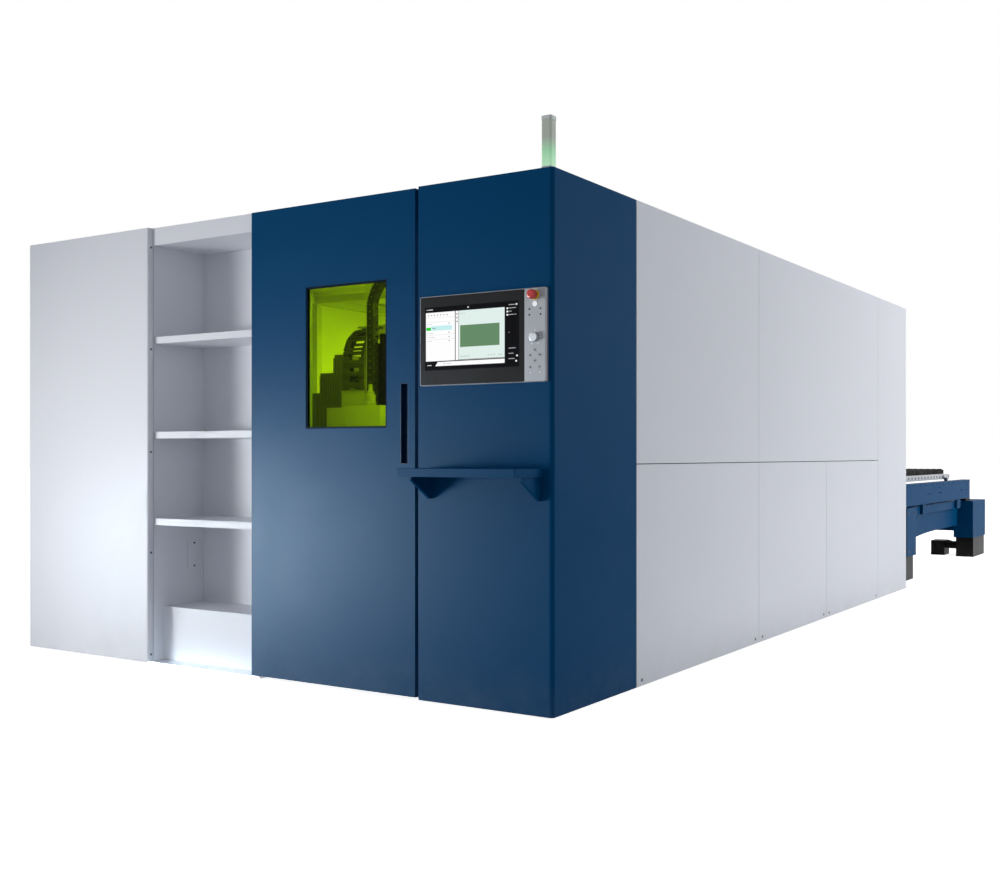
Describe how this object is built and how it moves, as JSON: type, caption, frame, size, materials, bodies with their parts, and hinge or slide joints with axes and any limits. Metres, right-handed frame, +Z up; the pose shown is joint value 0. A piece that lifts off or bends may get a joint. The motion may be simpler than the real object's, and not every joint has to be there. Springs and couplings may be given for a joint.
{
  "type": "fiber laser cutting machine",
  "caption": "Closed laser cutting cabin with a windowed operator door, console, tool niche and signal light, and a two-level pallet changer with serrated slats behind it.",
  "frame": {"origin": "on the floor, under the middle of the whole machine's box", "axes": "+X to the operator's right along the front, +Y from the operator front towards the pallet changer, +Z up"},
  "size_m": [3.314, 9.642, 2.432],
  "materials": {
    "navy_paint": "satin powder coat",
    "white_paint": "satin powder coat",
    "frame_paint": "matt powder coat",
    "bed_paint": "satin paint",
    "bare_steel": "ground",
    "slat_steel": "dark mill scale",
    "pallet_paint": "galvanised",
    "black_paint": "matt black",
    "dark_cover": "ribbed, matt",
    "chain_plastic": "matt",
    "laser_glass": "yellow-green laser-safe pane",
    "seal_rubber": "matt",
    "grip_plastic": "fine grain",
    "screen_glass": "gloss black",
    "panel_grey": "satin",
    "strip_silver": "satin film",
    "estop_red": "gloss",
    "collar_yellow": "satin",
    "button_white": "lit cap",
    "knob_grey": "satin",
    "light_grey": "satin",
    "signal_lens": "frosted, green light inside",
    "pane_steel": "stainless",
    "nozzle_copper": "turned",
    "fastener_dark": "black oxide"
  },
  "bodies": {
    "machine": {"cabin_frame": "frame_paint", "roof_panels": "white_paint", "corner_panel": "navy_paint", "left_front_panel": "white_paint", "side_upper_panels": "white_paint", "side_lower_panels": "white_paint", "side_rear_panel": "white_paint", "left_side_panels": "white_paint", "rear_wall_panels": "white_paint", "panel_fasteners": "fastener_dark", "niche_walls": "white_paint", "niche_shelves": "white_paint", "niche_plinth": "white_paint", "niche_floor_plate": "pane_steel", "console_shelf": "navy_paint", "console_brackets": "navy_paint", "operator_panel": "panel_grey", "operator_screen": "screen_glass", "keypad_strip": "strip_silver", "estop_collar": "collar_yellow", "signal_light_base": "light_grey", "signal_light_lens": "signal_lens", "signal_light_cap": "light_grey", "machine_bed": "bed_paint", "bed_rails": "bare_steel", "pallet_rails": "bare_steel", "scrap_pan": "bed_paint", "chain_tray": "bed_paint", "stepped_cover": "dark_cover", "electrical_cabinet": "frame_paint", "laser_source": "frame_paint", "gate_guides": "frame_paint", "changer_base": "navy_paint", "changer_feet": "black_paint", "lift_columns": "black_paint", "lift_drive_motor": "black_paint"},
    "front_door": {"door_leaf": "navy_paint", "window_seal": "seal_rubber", "door_window": "laser_glass", "door_grip": "grip_plastic"},
    "gantry": {"gantry_beam": "bed_paint", "gantry_rails": "bare_steel", "bed_energy_chain": "chain_plastic", "gantry_energy_chain": "chain_plastic"},
    "carriage": {"head_carriage": "bed_paint"},
    "head": {"cutting_head": "black_paint", "cutting_nozzle": "nozzle_copper"},
    "gate": {"rear_gate": "pallet_paint"},
    "lift": {"lift_frame": "navy_paint"},
    "upper_pallet": {"upper_pallet_frame": "pallet_paint", "upper_pallet_slats": "slat_steel"},
    "lower_pallet": {"lower_pallet_frame": "pallet_paint", "lower_pallet_slats": "slat_steel"},
    "upper_front_wheels": {"upper_front_wheelset": "bare_steel"},
    "upper_rear_wheels": {"upper_rear_wheelset": "bare_steel"},
    "lower_front_wheels": {"lower_front_wheelset": "bare_steel"},
    "lower_rear_wheels": {"lower_rear_wheelset": "bare_steel"},
    "estop": {"estop_button": "estop_red"},
    "start": {"start_button": "button_white"},
    "knob": {"override_knob": "knob_grey"}
  },
  "joints": [
    {"name": "door_hinge", "type": "hinge", "parent": "machine", "child": "front_door", "pos_m": [0.035, -4.582, 1.1], "axis": [0, 0, -1], "range_deg": [0, 100]},
    {"name": "gantry_travel", "type": "slide", "parent": "machine", "child": "gantry", "axis": [0, 1, 0], "range_m": [0, 3]},
    {"name": "carriage_travel", "type": "slide", "parent": "gantry", "child": "carriage", "axis": [1, 0, 0], "range_m": [0, 1.48]},
    {"name": "head_height", "type": "slide", "parent": "carriage", "child": "head", "axis": [0, 0, 1], "range_m": [0, 0.115]},
    {"name": "gate_closing", "type": "slide", "parent": "machine", "child": "gate", "axis": [0, 0, -1], "range_m": [0, 0.76]},
    {"name": "lift_height", "type": "slide", "parent": "machine", "child": "lift", "axis": [0, 0, 1], "range_m": [0, 0.2]},
    {"name": "upper_pallet_travel", "type": "slide", "parent": "lift", "child": "upper_pallet", "axis": [0, 1, 0], "range_m": [-4.09, 0]},
    {"name": "lower_pallet_travel", "type": "slide", "parent": "lift", "child": "lower_pallet", "axis": [0, 1, 0], "range_m": [-4.09, 0]},
    {"name": "estop_press", "type": "slide", "parent": "machine", "child": "estop", "axis": [0, 1, 0], "range_m": [0, 0.005]},
    {"name": "start_press", "type": "slide", "parent": "machine", "child": "start", "axis": [0, 1, 0], "range_m": [0, 0.002], "stiffness_N_per_m": 300, "springref_m": -0.002},
    {"name": "override_turn", "type": "hinge", "parent": "machine", "child": "knob", "pos_m": [1.587, -4.627, 1.523], "axis": [0, -1, 0], "range_deg": [-150, 150]},
    {"name": "upper_front_wheel_roll", "type": "hinge", "parent": "upper_pallet", "child": "upper_front_wheels", "pos_m": [0.537, 1.181, 0.826], "axis": [1, 0, 0], "range_deg": [-60, 7900]},
    {"name": "upper_rear_wheel_roll", "type": "hinge", "parent": "upper_pallet", "child": "upper_rear_wheels", "pos_m": [0.537, 3.571, 0.826], "axis": [1, 0, 0], "range_deg": [-60, 7900]},
    {"name": "lower_front_wheel_roll", "type": "hinge", "parent": "lower_pallet", "child": "lower_front_wheels", "pos_m": [0.537, 1.181, 0.626], "axis": [1, 0, 0], "range_deg": [-60, 7900]},
    {"name": "lower_rear_wheel_roll", "type": "hinge", "parent": "lower_pallet", "child": "lower_rear_wheels", "pos_m": [0.537, 3.571, 0.626], "axis": [1, 0, 0], "range_deg": [-60, 7900]}
  ],
  "couplings": [
    {"joint": "upper_front_wheel_roll", "follows": "upper_pallet_travel", "rad_per_m": -33.333},
    {"joint": "upper_rear_wheel_roll", "follows": "upper_pallet_travel", "rad_per_m": -33.333},
    {"joint": "lower_front_wheel_roll", "follows": "lower_pallet_travel", "rad_per_m": -33.333},
    {"joint": "lower_rear_wheel_roll", "follows": "lower_pallet_travel", "rad_per_m": -33.333}
  ]
}
